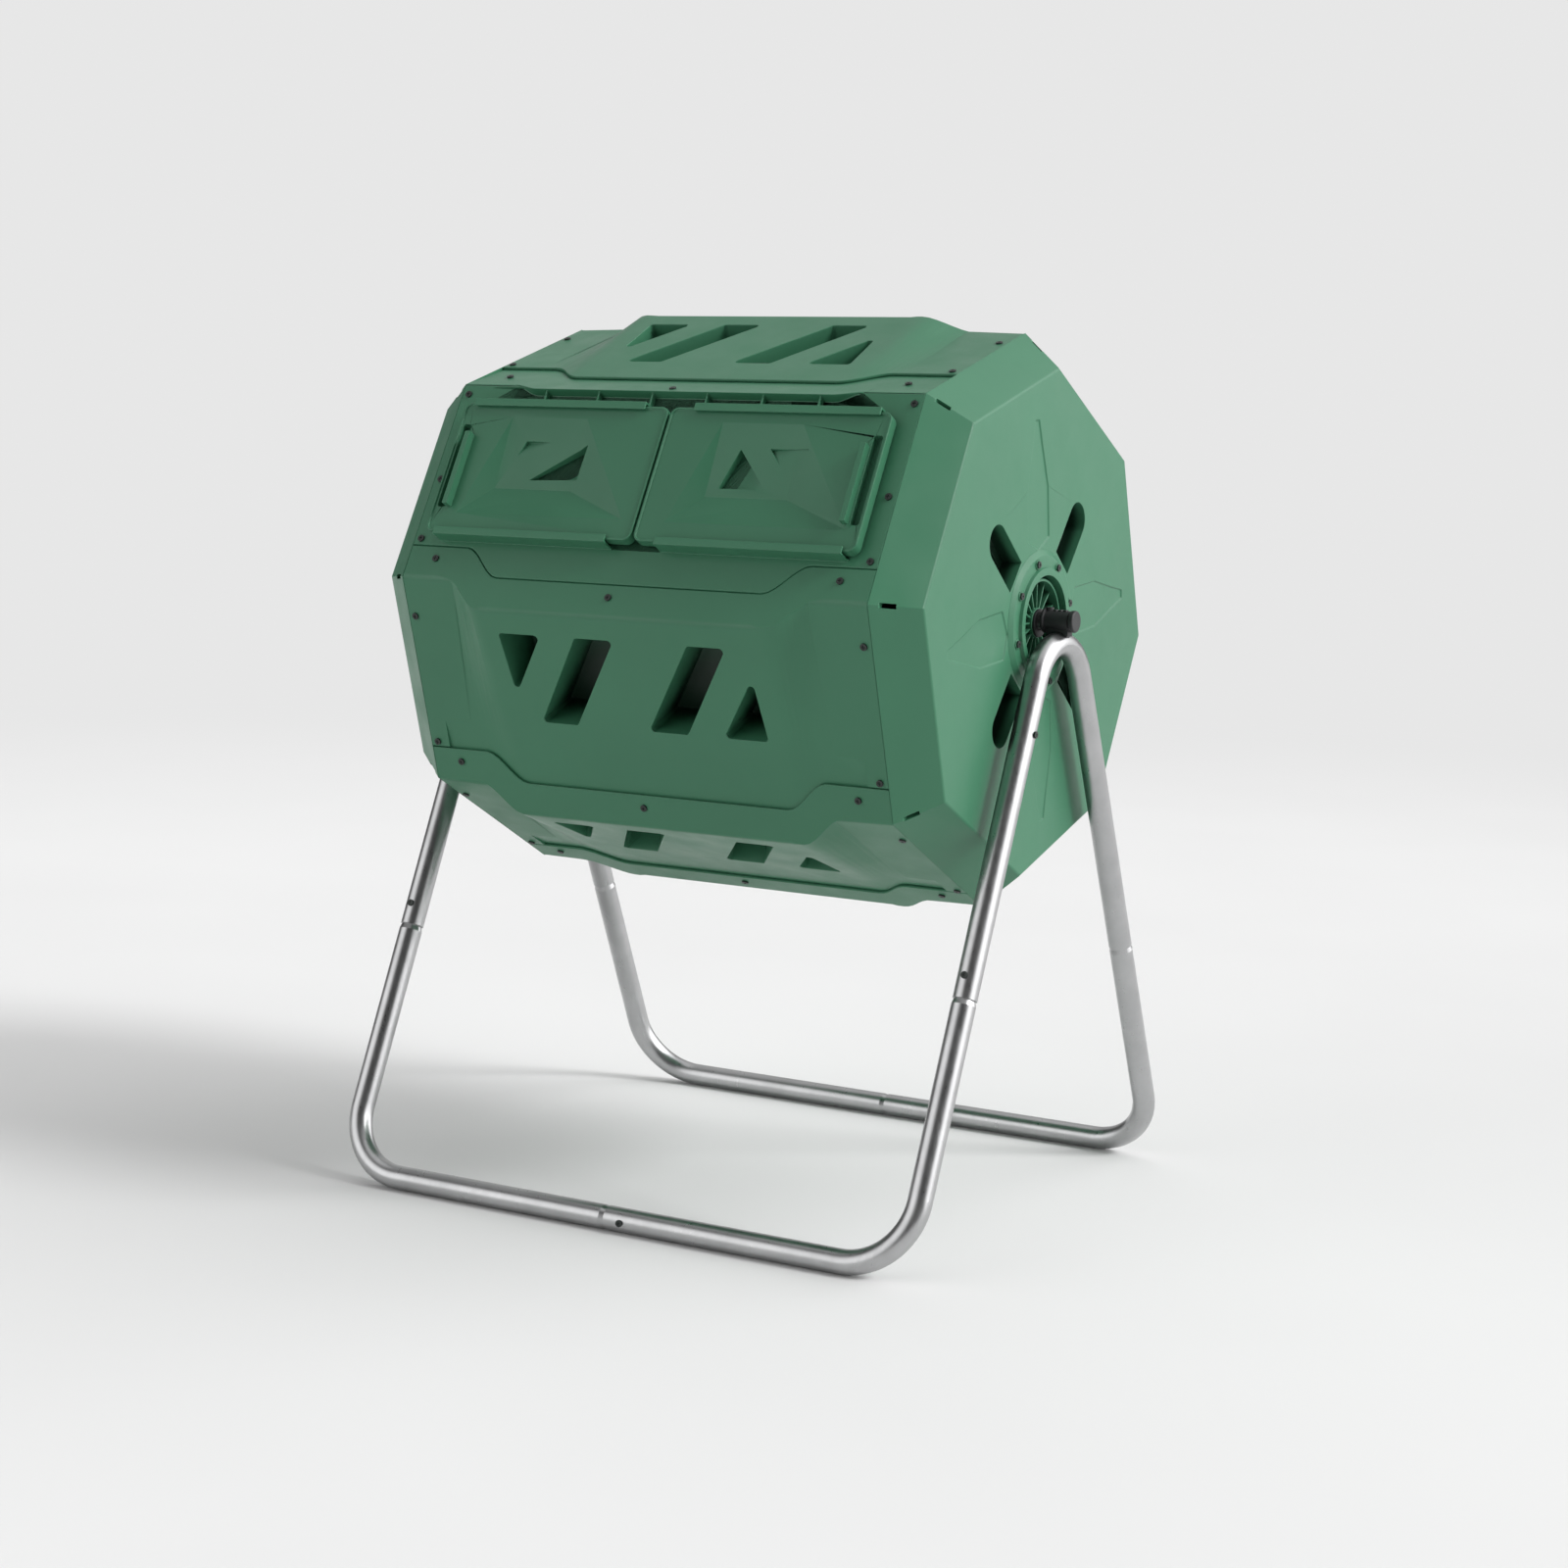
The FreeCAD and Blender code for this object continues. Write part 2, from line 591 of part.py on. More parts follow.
def make_bush():
    """Plastic bearing that turns with the drum on the fixed axle."""
    face = HALF_LENGTH + CAP_DEPTH
    bush = x_cylinder(BUSH_R - 0.05, face - HUB_DEPTH, face - 1.95).fuse(
        x_cylinder(BUSH_R + 2.5, face - 1.95, face + 0.5))
    return bush.cut(x_cylinder(AXLE_R + RUNNING, face - 60, face + 10))


def make_divider():
    """Wall between the two chambers, with a flange that the panels are screwed to."""
    apothem = APOTHEM - JOG - WALL - GAP
    half = DIVIDER_WALL / 2
    web = octagon_block((-half, apothem), (half, apothem))
    flange = octagon_block((-DIVIDER_FLANGE, apothem), (0, apothem)).cut(
        octagon_block((-DIVIDER_FLANGE - 1, apothem - WALL), (-half, apothem - WALL)))
    for facet in range(8):
        gap = face_box((-DIVIDER_FLANGE - 1, -half), DIVIDER_GAP, (-60, 10))
        flange = flange.cut(turned(gap, facet))
    divider = web.fuse(flange).fuse(x_cylinder(DIVIDER_HUB_R, -12, 12))
    for i in range(8):
        rib = Part.makeBox(DIVIDER_RIB, apothem - DIVIDER_HUB_R - 2, 2.5,
                           Vector(-DIVIDER_RIB, -apothem + 3, AXLE_Z - 1.25))
        rib.rotate(AXLE, X_AXIS, -45 * i - TILT)
        divider = divider.fuse(rib)
    return divider.cut(x_cylinder(AXLE_R + 2.0, -30, 30))


# ---- screws -------------------------------------------------------------------------------

def screw(base, outwards, shank):
    """Pan-head screw with a cross recess; base is the centre of the head's seat."""
    head = Part.makeCylinder(SCREW_HEAD_R, SCREW_HEAD, base, outwards)
    body = head.fuse(Part.makeCylinder(SCREW_SHANK_R, shank, base - outwards * shank, outwards))
    side = outwards.cross(X_AXIS if abs(outwards.x) < 0.9 else Vector(0, 0, 1)).normalize()
    other = outwards.cross(side)
    top = base + outwards * (SCREW_HEAD - 0.9)
    for a, b in ((side, other), (other, side)):
        corners = [top + a * 2.0 + b * 0.45, top - a * 2.0 + b * 0.45,
                   top - a * 2.0 - b * 0.45, top + a * 2.0 - b * 0.45]
        body = body.cut(Part.Face(closed_wire(corners)).extrude(outwards * 2))
    return body


def face_screw(x, s, n, shank, facet, lean=0.0):
    """A screw square to facet 0's face, or to the facet above with lean = 45."""
    base = facet_point(x, s, n)
    normal = facet_point(0, 0, 1) - facet_point(0, 0, 0)
    turn = FreeCAD.Rotation(X_AXIS, -lean)
    return turned(screw(base, turn.multVec(normal), shank), facet)


def flange_screws(facet, edge, inset, n):
    """Three screws along a flange, at two ends and near the middle."""
    made = []
    for x in FLANGE_SCREW_X:
        s, out = from_upper(-edge + inset + RISE * wave(x, SEAM_WAVE), n)
        made.append(face_screw(x, s, out, 3.2, facet, 45.0))
    return made


def side_screws(facet, places):
    return [face_screw(side * SIDE_SCREW_X, s, 0.0, 6.0, facet) for s in places for side in (-1, 1)]


def make_panel_screws():
    made = flange_screws(0, FLANGE + BAND, 36.0, -1.0) + side_screws(0, (12.5, 113.0, 182.0))
    for facet in range(1, 8):
        made += flange_screws(facet, FLANGE, 14.0, 0.0) + side_screws(facet, (43.0,))
        made += side_screws(facet, (183.0,)) if facet < 7 else side_screws(facet, (150.0,))
    return made


def make_hub_screws():
    seat = HALF_LENGTH + CAP_DEPTH + HUB_HEIGHT + HUB_BOSS
    return [screw(polar(TILT + 22.5 + 45 * i, HUB_SCREW_R, seat), X_AXIS, 10.0) for i in range(8)]


# ---- axle and stands ----------------------------------------------------------------------

LEG_LEAN = math.atan2(BAR_Y, APEX_Z - TUBE_R)


def leg_point(side_y, z, x=FRAME_X):
    """Centre line of a leg of the right stand at a height."""
    return Vector(x, side_y * (APEX_Z - z) * math.tan(LEG_LEAN), z)


def tube(path, start, direction, radius, bore):
    """Round tube along a wire."""
    def sweep(r):
        circle = Part.Wire(Part.makeCircle(r, start, direction))
        return Part.Wire(path).makePipeShell([circle], True, False, 2)

    return sweep(radius).cut(sweep(bore))


def arc_between(a, corner, b, radius):
    """Start, middle and end of the arc that rounds a corner between two straight runs."""
    to_a, to_b = (a - corner).normalize(), (b - corner).normalize()
    half = to_a.getAngle(to_b) / 2
    cut = radius / math.tan(half)
    toward = (to_a + to_b).normalize()
    middle = corner + toward * (radius / math.sin(half) - radius)
    return corner + to_a * cut, middle, corner + to_b * cut


def make_upper_leg():
    """Upside-down V over the right end, open at its two lower ends."""
    front, back = leg_point(-1, JOINT_Z), leg_point(1, JOINT_Z)
    first, middle, last = arc_between(front, Vector(FRAME_X, 0, APEX_Z), back, APEX_RADIUS)
    path = [Part.LineSegment(front, first).toShape(), Part.Arc(first, middle, last).toShape(),
            Part.LineSegment(last, back).toShape()]
    return tube(path, front, first - front, TUBE_R, TUBE_R - TUBE_WALL)


def swaged_end(tip, direction):
    """Narrowed end of a tube: a short shoulder and a spigot that enters the next tube."""
    narrow = TUBE_R - TUBE_WALL - 0.1
    shoulder = Part.makeCone(TUBE_R, narrow, SHOULDER, tip, direction)
    spigot = Part.makeCylinder(narrow, SPIGOT, tip + direction * SHOULDER, direction)
    bore = Part.makeCylinder(narrow - TUBE_WALL, SPIGOT + SHOULDER + 2, tip - direction, direction)
    return shoulder.fuse(spigot).cut(bore)


def make_lower_tube(side_y, bar_spigot):
    """Right-hand lower leg that bends into half of the ground bar."""
    corner = leg_point(side_y, TUBE_R)
    up = (leg_point(side_y, JOINT_Z) - corner).normalize()
    top = leg_point(side_y, JOINT_Z) - up * SHOULDER
    end = Vector(SHOULDER if bar_spigot else 0.0, side_y * BAR_Y, TUBE_R)
    first, middle, last = arc_between(top, corner, end, FOOT_RADIUS)
    path = [Part.LineSegment(top, first).toShape(), Part.Arc(first, middle, last).toShape(),
            Part.LineSegment(last, end).toShape()]
    lower = tube(path, top, first - top, TUBE_R, TUBE_R - TUBE_WALL)
    lower = lower.fuse(swaged_end(top, up))
    if bar_spigot:
        lower = lower.fuse(swaged_end(end, Vector(-1, 0, 0)))
    return lower


def make_saddle():
    """Black sleeve round the axle, seated on the top of the right stand."""
    height = AXLE_Z + SLEEVE_RISE
    sleeve = x_cylinder(SLEEVE_R, SLEEVE_IN, SLEEVE_OUT, z=height)
    sleeve = sleeve.fuse(x_cylinder(SLEEVE_R + 2.6, SLEEVE_IN + 2, SLEEVE_IN + 4.4, z=height))
    low_corner = Vector(FRAME_X - SEAT_SIZE[0] / 2, -SEAT_SIZE[1] / 2, AXLE_Z - SEAT_SIZE[2] - 3)
    seat = Part.makeBox(*SEAT_SIZE, low_corner)
    top = Vector(SLEEVE_IN + 7.0, 0, height + SLEEVE_R - 1.5)
    boss = Part.makeCylinder(4.0, 4.6, top).cut(Part.makeCylinder(2.4, 3.0, top + Vector(0, 0, 2.6)))
    saddle = sleeve.fuse(seat).fuse(boss)
    for x in TEETH_X:
        tooth = Part.makeBox(3.6, 7.0, 2.4, Vector(FRAME_X + x, -3.5, height + SLEEVE_R - 1.4))
        saddle = saddle.fuse(tooth)
    hoop = Part.makeTorus(APEX_RADIUS, TUBE_R + 0.1, apex_centre(), X_AXIS)
    saddle = saddle.cut(hoop)
    return saddle.cut(x_cylinder(AXLE_R + 0.05, SLEEVE_IN - 1, SLEEVE_OUT + 1))


def apex_centre():
    """Centre of the bend at the top of the right stand."""
    return Vector(FRAME_X, 0, APEX_Z - APEX_RADIUS / math.sin(LEG_LEAN))


def make_axle():
    return x_ring(AXLE_R, AXLE_R - 1.6, -SLEEVE_OUT, SLEEVE_OUT)


def make_axle_cap():
    """Disc that closes the end of the sleeve, with a plug inside the axle."""
    start = SLEEVE_OUT + 1.2
    height = AXLE_Z + SLEEVE_RISE
    disc = x_cylinder(AXLE_CAP_R, start, AXLE_CAP_END - 1, z=height)
    crown = Part.makeCone(AXLE_CAP_R, AXLE_CAP_R - 1, 1, Vector(AXLE_CAP_END - 1, 0, height), X_AXIS)
    neck = x_cylinder(AXLE_R - 0.4, SLEEVE_OUT + 0.1, start + 1)
    return disc.fuse(crown).fuse(neck).fuse(x_cylinder(AXLE_R - 1.7, SLEEVE_OUT - 18, start))


def make_leg_screws():
    """Screws through the tube joints, and a bolt higher up in each front leg."""
    made = []
    for side_y in (-1, 1):
        along = (leg_point(side_y, JOINT_Z) - leg_point(side_y, 0)).normalize()
        outwards = along.cross(X_AXIS) * side_y
        made.append(screw(leg_point(side_y, JOINT_Z + 20) + outwards * TUBE_R, outwards, 9.0))
    made.append(screw(leg_point(-1, 512.0) + X_AXIS * TUBE_R, X_AXIS, 9.0))
    return made + [mirrored(s) for s in made]


def make_bar_screws():
    """Screws through the middle joints of the two ground bars."""
    return [screw(Vector(20.0, side_y * (BAR_Y + TUBE_R), TUBE_R), Vector(0, side_y, 0), 9.0)
            for side_y in (-1, 1)]


# ---- the assembly -------------------------------------------------------------------------

def main():
    os.makedirs("parts", exist_ok=True)
    vent_panel = make_vent_panel(False)
    for facet in range(1, 7):
        save(f"vent_panel_{facet}", [turned(vent_panel, facet)])
    save("vent_panel_7", [turned(make_vent_panel(True), 7)])
    save("door_panel", [turned(make_door_panel(), 0)])
    save("door_left", [turned(make_door(-1, LEFT_RECESSES), 0)])
    save("door_right", [turned(make_door(1, RIGHT_RECESSES), 0)])
    save("centre_divider", [make_divider()])
    save("panel_screws", make_panel_screws())
    save("axle", [make_axle()])

    ends = {
        "end_cap": [make_end_cap()],
        "hub": [make_hub()],
        "hub_bush": [make_bush()],
        "hub_screws": make_hub_screws(),
        "axle_saddle": [make_saddle()],
        "axle_cap": [make_axle_cap()],
        "upper_leg": [make_upper_leg()],
    }
    for name, shapes in ends.items():
        save(name + "_right", shapes)
        save(name + "_left", [mirrored(shape) for shape in shapes])

    for word, side_y in (("front", -1), ("back", 1)):
        save(f"lower_tube_{word}_right", [make_lower_tube(side_y, False)])
        save(f"lower_tube_{word}_left", [mirrored(make_lower_tube(side_y, True))])
    save("leg_screws", make_leg_screws())
    save("bar_screws", make_bar_screws())


main()
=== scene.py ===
"""Looks of the compost tumbler: moulded green drum, black axle fittings and a galvanised tube stand."""

import json
import math
from collections import namedtuple

import bmesh
import bpy
from mathutils import Matrix, Vector


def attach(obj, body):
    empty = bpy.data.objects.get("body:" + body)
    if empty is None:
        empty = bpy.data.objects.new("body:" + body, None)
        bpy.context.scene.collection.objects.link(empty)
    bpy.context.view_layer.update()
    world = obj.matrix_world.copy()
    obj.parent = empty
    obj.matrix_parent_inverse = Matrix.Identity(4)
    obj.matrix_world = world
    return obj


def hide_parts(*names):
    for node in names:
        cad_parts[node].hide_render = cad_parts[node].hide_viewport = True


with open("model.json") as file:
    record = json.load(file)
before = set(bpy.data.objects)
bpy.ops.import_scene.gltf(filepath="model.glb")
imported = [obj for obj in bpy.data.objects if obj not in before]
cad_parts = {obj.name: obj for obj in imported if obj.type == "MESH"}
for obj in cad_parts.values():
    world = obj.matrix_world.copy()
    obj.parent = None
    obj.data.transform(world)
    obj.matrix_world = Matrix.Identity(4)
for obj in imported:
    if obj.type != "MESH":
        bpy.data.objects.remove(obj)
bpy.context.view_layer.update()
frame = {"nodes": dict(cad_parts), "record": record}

# ---- the camera: place in metres, angles in degrees -----------------------------------------

CAMERA_PLACE = Vector((1.567, -2.682, 0.8185))
CAMERA_YAW = 30.0
CAMERA_PITCH = 7.2
CAMERA_ROLL = 1.43
CAMERA_LENS = 66.4      # millimetres, as is the sensor's width
CAMERA_SENSOR = 36.0

# ---- materials: noise scales are in cells per metre, depths and distances in metres ---------

USUAL_SPREAD = (0.3, 0.7)       # most of a noise's values lie between these
NOISE_ROUGHNESS = 0.55

GREEN = (0.045, 0.172, 0.095)
DOOR_TONE = 0.94                # the doors are a little darker than the drum
BLACK = (0.026, 0.027, 0.028)
PAINTED_SHADE = (0.006, 0.024, 0.013)   # painted shade: the darker colour deep inside the vents, slots and hubs, where shade falls
JOINTS = {joint["name"]: joint for joint in frame["record"]["behaviour"]["joints"]}
AXLE_HEIGHT = JOINTS["drum_turn"]["pos_m"][2]
VENT_SHADE = (0.236, 0.264)     # distances from the axle: painted shade at its darkest, and none
END_SHADE = (0.300, 0.312)      # distances from the drum's middle: painted shade at its darkest, and none
SLOT_SHADE_REACH = (0.158, 0.170)     # distances from the axle that the end slots, and their painted shade, stay within

DRUM_ROUGHNESS = 0.38
DOOR_ROUGHNESS = 0.37
BLACK_ROUGHNESS = 0.48
PLASTIC_SPECULAR = 0.35
FLOW_SCALE = 4.0
FLOW_TONES = (0.94, 1.05)       # the plastic's colour, times the least and the most
GLOSS_SCALE = 22.0
GLOSS_CHANGE = (-0.05, 0.06)    # added to the roughness, from patch to patch
WAVE_SCALE = 9.0
WAVE_DEPTH = 0.0006
WAVE_STRENGTH = 0.35
GRAIN_SCALE = 1500.0
GRAIN_DEPTH = 0.00006
GRAIN_STRENGTH = 0.8

ZINC = (0.985, 0.99, 1.0)       # the tint of the zinc, before its tone
TUBE_TONE = 0.47
AXLE_TONE = 0.40
BLOTCH_SCALE = 26.0
BLOTCH_TONES = (0.93, 1.07)
STREAK_SCALE = 240.0
STREAK_STRETCH = (1.0, 1.0, 0.06)
STREAK_SPREAD = (0.3, 0.72)
STREAK_ROUGHNESS = (0.27, 0.35)

SCREW_COLOURS = (0.012, 0.017, 0.015), (0.035, 0.045, 0.04)     # as coated, and worn
SCREW_ROUGHNESS = (0.3, 0.5)
SCREW_METALLIC = 0.2
WEAR_SCALE = 700.0
WEAR_SPREAD = (0.4, 0.75)

FLOOR_SIZE = 80.0
FLOOR_LEVELS = (0.74, 0.76)
FLOOR_ROUGHNESS = 0.8
FLOOR_SPECULAR = 0.2
FLOOR_SCALE = 1.3
FLOOR_FADE = (2.2, 5.0)         # distances at which the floor starts to be, and is, the backdrop
BACKDROP = (0.80, 0.80, 0.80, 1)    # the seamless backdrop


class Nodes:
    """A short way to write a material's node tree."""

    def __init__(self, name):
        self.material = bpy.data.materials.new(name)
        self.material.use_nodes = True
        self.tree = self.material.node_tree
        self.shader = self.tree.nodes["Principled BSDF"]
        self.coords = self.tree.nodes.new("ShaderNodeTexCoord").outputs["Object"]

    def set(self, **values):
        for key, value in values.items():
            self.shader.inputs[key.replace("_", " ")].default_value = value

    def link(self, output, socket):
        self.tree.links.new(output, self.shader.inputs[socket])

    def scaled(self, factors, shift=(0, 0, 0)):
        """The coordinates times a factor on each axis, plus a shift."""
        node = self.tree.nodes.new("ShaderNodeVectorMath")
        node.operation = "MULTIPLY_ADD"
        node.inputs[1].default_value = factors
        node.inputs[2].default_value = shift
        self.tree.links.new(self.coords, node.inputs[0])
        return node.outputs["Vector"]

    def noise(self, scale, detail, coords=None):
        node = self.tree.nodes.new("ShaderNodeTexNoise")
        node.inputs["Scale"].default_value = scale
        node.inputs["Detail"].default_value = detail
        node.inputs["Roughness"].default_value = NOISE_ROUGHNESS
        self.tree.links.new(coords or self.coords, node.inputs["Vector"])
        return node.outputs["Fac"]

    def larger(self, first, second):
        node = self.tree.nodes.new("ShaderNodeMath")
        node.operation = "MAXIMUM"
        self.tree.links.new(first, node.inputs[0])
        self.tree.links.new(second, node.inputs[1])
        return node.outputs["Value"]

    def length(self, vector):
        node = self.tree.nodes.new("ShaderNodeVectorMath")
        node.operation = "LENGTH"
        self.tree.links.new(vector, node.inputs[0])
        return node.outputs["Value"]

    def span(self, value, start, end):
        """A smooth step from 0 to 1 as a value goes from start to end."""
        node = self.tree.nodes.new("ShaderNodeMapRange")
        node.interpolation_type = "SMOOTHSTEP"
        node.inputs["From Min"].default_value = start
        node.inputs["From Max"].default_value = end
        self.tree.links.new(value, node.inputs["Value"])
        return node.outputs["Result"]

    def mixed(self, colour, output, factor):
        """A plain colour at factor 0, turning into an output's colour at factor 1."""
        node = self.tree.nodes.new("ShaderNodeMix")
        node.data_type = "RGBA"
        colours = {i.name: i for i in node.inputs if i.type == "RGBA"}
        colours["A"].default_value = (*colour, 1)
        self.tree.links.new(output, colours["B"])
        self.tree.links.new(factor, node.inputs["Factor"])
        return next(o for o in node.outputs if o.type == "RGBA")

    def ramp(self, factor, values, places=USUAL_SPREAD):
        """Two colours or grey levels, and the places along a factor where each is reached."""
        node = self.tree.nodes.new("ShaderNodeValToRGB")
        for element, place, value in zip(node.color_ramp.elements, places, values):
            element.position = place
            element.color = (*value, 1) if isinstance(value, tuple) else (value, value, value, 1)
        self.tree.links.new(factor, node.inputs["Fac"])
        return node.outputs["Color"]

    def bump(self, height, distance, strength, under=None):
        node = self.tree.nodes.new("ShaderNodeBump")
        node.inputs["Distance"].default_value = distance
        node.inputs["Strength"].default_value = strength
        self.tree.links.new(height, node.inputs["Height"])
        if under is not None:
            self.tree.links.new(under, node.inputs["Normal"])
        return node.outputs["Normal"]


def toned(colour, factor):
    return tuple(channel * factor for channel in colour)


def moulded_plastic(name, colour, roughness, unshaded=None):
    """Polypropylene with a fine spark-eroded grain, a slight flow pattern and uneven gloss.

    Where it has an inside, the last argument says how far out a point is, and the rest is darkened with a
    painted shade."""
    n = Nodes(name)
    tone = n.ramp(n.noise(FLOW_SCALE, 4.0), [toned(colour, factor) for factor in FLOW_TONES])
    # painted shade: the inside is darkened by depth, where shade falls
    if unshaded is not None:
        tone = n.mixed(PAINTED_SHADE, tone, unshaded(n))
    n.link(tone, "Base Color")
    gloss = n.noise(GLOSS_SCALE, 5.0)
    n.link(n.ramp(gloss, [roughness + change for change in GLOSS_CHANGE]), "Roughness")
    waves = n.bump(n.noise(WAVE_SCALE, 1.0), WAVE_DEPTH, WAVE_STRENGTH)
    n.link(n.bump(n.noise(GRAIN_SCALE, 2.0), GRAIN_DEPTH, GRAIN_STRENGTH, waves), "Normal")
    n.set(Specular_IOR_Level=PLASTIC_SPECULAR)
    return n.material


def from_the_axle(n):
    """The distance of a point from the axle's centre line."""
    return n.length(n.scaled((0, 1, 1), (0, 0, -AXLE_HEIGHT)))


def out_of_the_vents(n):
    """How far a panel is from its painted shade: dark near the axle, unshaded at its outer face."""
    return n.span(from_the_axle(n), *VENT_SHADE)


def out_of_the_ends(n):
    """How far an end is from its painted shade: dark inside its slots and hub, unshaded at its face and
    round its edge.
    """
    outward = n.span(n.length(n.scaled((1, 0, 0))), *END_SHADE)
    return n.larger(outward, n.span(from_the_axle(n), *SLOT_SHADE_REACH))


def galvanised_tube(name, tone):
    """Zinc-coated tube with a satin finish: faint blotches, and streaks from drawing and handling."""
    n = Nodes(name)
    blotches = [toned(ZINC, tone * factor) for factor in BLOTCH_TONES]
    n.link(n.ramp(n.noise(BLOTCH_SCALE, 4.0), blotches), "Base Color")
    streaks = n.noise(STREAK_SCALE, 3.0, n.scaled(STREAK_STRETCH))
    n.link(n.ramp(streaks, STREAK_ROUGHNESS, STREAK_SPREAD), "Roughness")
    n.set(Metallic=1.0)
    return n.material


def dark_screw():
    """Coated steel screw, slightly worn on its crown."""
    n = Nodes("dark_screw")
    wear = n.noise(WEAR_SCALE, 3.0)
    n.link(n.ramp(wear, SCREW_COLOURS, WEAR_SPREAD), "Base Color")
    n.link(n.ramp(wear, SCREW_ROUGHNESS), "Roughness")
    n.set(Metallic=SCREW_METALLIC)
    return n.material


def pale_floor():
    """A pale sweep that turns into the evenly lit backdrop a few metres out."""
    n = Nodes("pale_floor")
    n.link(n.ramp(n.noise(FLOOR_SCALE, 2.0), FLOOR_LEVELS), "Base Color")
    n.set(Roughness=FLOOR_ROUGHNESS, Specular_IOR_Level=FLOOR_SPECULAR)
    glow = n.tree.nodes.new("ShaderNodeEmission")
    glow.inputs["Color"].default_value = BACKDROP
    mix = n.tree.nodes.new("ShaderNodeMixShader")
    n.tree.links.new(n.span(n.length(n.coords), *FLOOR_FADE), mix.inputs["Fac"])
    n.tree.links.new(n.shader.outputs["BSDF"], mix.inputs[1])
    n.tree.links.new(glow.outputs["Emission"], mix.inputs[2])
    n.tree.links.new(mix.outputs["Shader"], n.tree.nodes["Material Output"].inputs["Surface"])
    return n.material


LOOKS = {
    "drum_plastic": moulded_plastic("drum_green", GREEN, DRUM_ROUGHNESS),
    "vents": moulded_plastic("vent_green", GREEN, DRUM_ROUGHNESS, out_of_the_vents),
    "ends": moulded_plastic("end_green", GREEN, DRUM_ROUGHNESS, out_of_the_ends),
    "door_plastic": moulded_plastic("door_green", toned(GREEN, DOOR_TONE), DOOR_ROUGHNESS),
    "black_plastic": moulded_plastic("fitting_black", BLACK, BLACK_ROUGHNESS),
    "tube_steel": galvanised_tube("galvanised_tube", TUBE_TONE),
    "axle_steel": galvanised_tube("axle_tube", AXLE_TONE),
    "screw_steel": dark_screw(),
}
OWN_LOOKS = {"vent_panel": "vents", "end_cap": "ends", "hub": "ends"}

# ---- pieces: lengths in metres, bends in degrees --------------------------------------------

SLOT_OF = {part["node"]: part["material_slot"] for part in frame["record"]["subparts"]}
BODY_OF = {node: body for body, nodes in frame["record"]["behaviour"]["bodies"].items() for node in nodes}

SEW = 1e-5              # points closer than this are one point
FLAT = 0.05             # faces that bend less than this are one face
SHARP = 24.0            # an edge that bends at least this much is rounded
ALONG = 0.3             # an edge runs along the drum if X takes up more than this share of it
WIDEST = 0.005          # the rounding of an edge whose weight is 1; all of them are less
BAND_END = (0.2485, 0.2535)     # distances from the drum's middle

Bend = namedtuple("Bend", "least most shortest along_x radius")
CREASE = Bend(3.5, SHARP, 0.02, True, 0.0012)       # the raised bands beside a panel's seams
CORNER = Bend(SHARP, 60.0, 0.02, True, 0.0040)      # the drum's eight corners
PRESSING = Bend(4.0, SHARP, 0.03, False, 0.0)       # the shapes of a door, which stay crisp
BEVEL = Bend(SHARP, 60.0, 0.06, False, 0.0020)      # the bevel round an end cap

# The start of the nodes' names, the radius of a sharp edge or None for a node that stays as it
# is, the bends that have a radius of their own, and whether flat faces stay whole. The first
# rule that fits a node is the one that counts.
Rule = namedtuple("Rule", "start radius bends whole_faces", defaults=((), False))
RULES = (
    Rule("vent_panel", 0.0009, (CREASE, CORNER), True),
    Rule("door_panel", 0.0007, (CREASE, CORNER), True),
    Rule("door_", 0.0006, (PRESSING,)),
    Rule("end_cap", 0.00045, (BEVEL,)),
    Rule("hub_bush", 0.0002),
    Rule("hub_screws", None),
    Rule("hub", 0.0004),
    Rule("centre_divider", 0.0005),
    Rule("axle_saddle", 0.0004),
    Rule("axle_cap", 0.0005),
    Rule("", None),
)


def dress(piece, material):
    piece.data.materials.clear()
    piece.data.materials.append(material)


def flattened(node):
    """The node's shape with its points joined and its flat faces whole."""
    bm = bmesh.new()
    bm.from_mesh(frame["nodes"][node].data)
    bmesh.ops.remove_doubles(bm, verts=bm.verts, dist=SEW)
    bmesh.ops.dissolve_limit(bm, angle_limit=math.radians(FLAT), verts=bm.verts, edges=bm.edges)
    return bm


def rounding_of(edge, rule):
    """The radius that a mould leaves on an edge, and whether the edge stays a crisp line."""
    if len(edge.link_faces) != 2:
        return 0.0, False
    angle = math.degrees(edge.calc_face_angle())
    run = edge.verts[0].co - edge.verts[1].co
    for bend in rule.bends:
        along = not bend.along_x or abs(run.x) > ALONG * run.length
        if bend.least <= angle < bend.most and run.length >= bend.shortest and along:
            return bend.radius, bend.radius == 0.0
    return (rule.radius if angle >= SHARP else 0.0), False


def at_band_end(edge):
    """Whether an edge lies in the thin end of a panel's raised band, which is too fine to round."""
    return all(BAND_END[0] < abs(point.co.x) < BAND_END[1] for point in edge.verts)


def clean_mesh(node, name, rule):
    """The node's mesh, ready for rounding, with each edge's share of the widest rounding."""
    bm = flattened(node)
    if not rule.whole_faces:
        bmesh.ops.triangulate(bm, faces=bm.faces, quad_method="BEAUTY", ngon_method="BEAUTY")
    weight = bm.edges.layers.float.new("bevel_weight_edge")
    for edge in bm.edges:
        radius, crisp = rounding_of(edge, rule)
        thin = rule.whole_faces and at_band_end(edge)
        edge[weight] = 0.0 if thin else radius / WIDEST
        edge.smooth = not crisp
    mesh = bpy.data.meshes.new(name)
    bm.to_mesh(mesh)
    bm.free()
    old_normals = mesh.attributes.get("custom_normal")
    if old_normals is not None:
        mesh.attributes.remove(old_normals)
    for polygon in mesh.polygons:
        polygon.use_smooth = True
    return mesh


